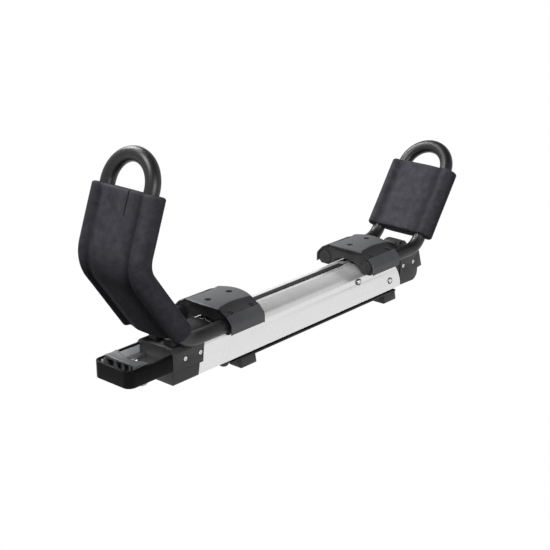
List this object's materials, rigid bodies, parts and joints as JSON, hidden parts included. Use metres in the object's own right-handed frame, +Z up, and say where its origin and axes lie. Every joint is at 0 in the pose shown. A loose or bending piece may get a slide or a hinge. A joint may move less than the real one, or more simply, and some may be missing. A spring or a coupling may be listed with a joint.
{
  "type": "lift-assist kayak rack",
  "caption": "Folded roof-bar kayak carrier: a silver beam with padded cradles on gas-assisted arms that swing it out and down, and a squeeze-release grab handle.",
  "frame": {"origin": "middle of the crossbar slot, level with the undersides of the clamp jaws", "axes": "+X from the grab handle to the inner end, along the crossbar; +Z up; +Y to the side away from the picture's camera"},
  "size_m": [0.9022, 0.15, 0.4256],
  "materials": {
    "silver_extrusion": "satin anodised",
    "bare_aluminium": "plain mill",
    "black_steel": "satin black powder coat",
    "tube_coating": "satin black coat",
    "foam_pad": "soft foam with a close matt skin",
    "hub_plastic": "fine moulded grain",
    "cap_plastic": "fine moulded grain",
    "gloss_black": "semi-gloss moulded",
    "lever_plastic": "fine moulded grain",
    "chrome_rod": "ground and plated",
    "plated_steel": "zinc plated"
  },
  "bodies": {
    "base": {"base_rail": "black_steel", "clamp_knobs": "cap_plastic", "control_pivot_pin": "plated_steel", "inner_jaw_far": "cap_plastic", "inner_jaw_near": "cap_plastic", "jaw_bolts": "plated_steel", "lift_pivot_pins": "plated_steel", "outer_jaw_far": "cap_plastic", "outer_jaw_near": "cap_plastic", "pivot_bracket_far": "black_steel", "pivot_bracket_near": "black_steel"},
    "lift_arms": {"gas_strut_cylinder_far": "black_steel", "gas_strut_cylinder_near": "black_steel", "lift_arm_far": "black_steel", "lift_arm_near": "black_steel", "strut_mount_pins": "plated_steel"},
    "control_arm": {"control_arm": "black_steel"},
    "strut_rods": {"gas_strut_rod_far": "chrome_rod", "gas_strut_rod_near": "chrome_rod"},
    "outer_cradle": {"outer_cradle_tube": "tube_coating", "outer_pad": "foam_pad", "outer_tube_plugs": "cap_plastic"},
    "inner_cradle": {"inner_cradle_tube": "tube_coating", "inner_pad": "foam_pad", "inner_tube_plugs": "cap_plastic"},
    "release": {"release_lever": "lever_plastic", "pull_rods": "plated_steel"},
    "carriage": {"beam": "silver_extrusion", "carry_pin": "plated_steel", "control_studs": "plated_steel", "grab_handle": "gloss_black", "handle_strap": "bare_aluminium", "inner_cap_screws": "plated_steel", "inner_cover": "hub_plastic", "inner_cover_screws": "plated_steel", "inner_end_cap": "cap_plastic", "inner_saddle": "hub_plastic", "outer_cap_screws": "plated_steel", "outer_cover": "hub_plastic", "outer_cover_screws": "plated_steel", "outer_end_cap": "cap_plastic", "outer_saddle": "hub_plastic", "strap_cleat": "cap_plastic", "strut_crank": "plated_steel"}
  },
  "joints": [
    {"name": "lift_hinge", "type": "hinge", "parent": "base", "child": "lift_arms", "pos_m": [-0.2, 0, 0.044], "axis": [0, -1, 0], "range_deg": [0, 200]},
    {"name": "carry_hinge", "type": "hinge", "parent": "lift_arms", "child": "carriage", "pos_m": [0.1393, 0, 0.0703], "axis": [0, -1, 0], "range_deg": [-100, 0]},
    {"name": "control_hinge", "type": "hinge", "parent": "base", "child": "control_arm", "pos_m": [-0.1312, 0, 0.03], "axis": [0, -1, 0], "range_deg": [0, 182.2]},
    {"name": "strut_slide", "type": "slide", "parent": "lift_arms", "child": "strut_rods", "axis": [0.9999, 0, 0.0172], "range_m": [-0.0434, 0]},
    {"name": "release_slide", "type": "slide", "parent": "carriage", "child": "release", "axis": [-1, 0, 0], "range_m": [0, 0.006], "stiffness_N_per_m": 300, "springref_m": -0.004},
    {"name": "outer_cradle_slide", "type": "slide", "parent": "carriage", "child": "outer_cradle", "axis": [1, 0, 0], "range_m": [0, 0.025]},
    {"name": "inner_cradle_slide", "type": "slide", "parent": "carriage", "child": "inner_cradle", "axis": [-1, 0, 0], "range_m": [0, 0.025]}
  ],
  "couplings": [
    {"joint": "carry_hinge", "follows": "lift_hinge", "ratio": -0.5},
    {"joint": "control_hinge", "follows": "lift_hinge", "ratio": 0.9062},
    {"joint": "strut_slide", "follows": "lift_hinge", "m_per_rad": -0.012288}
  ]
}
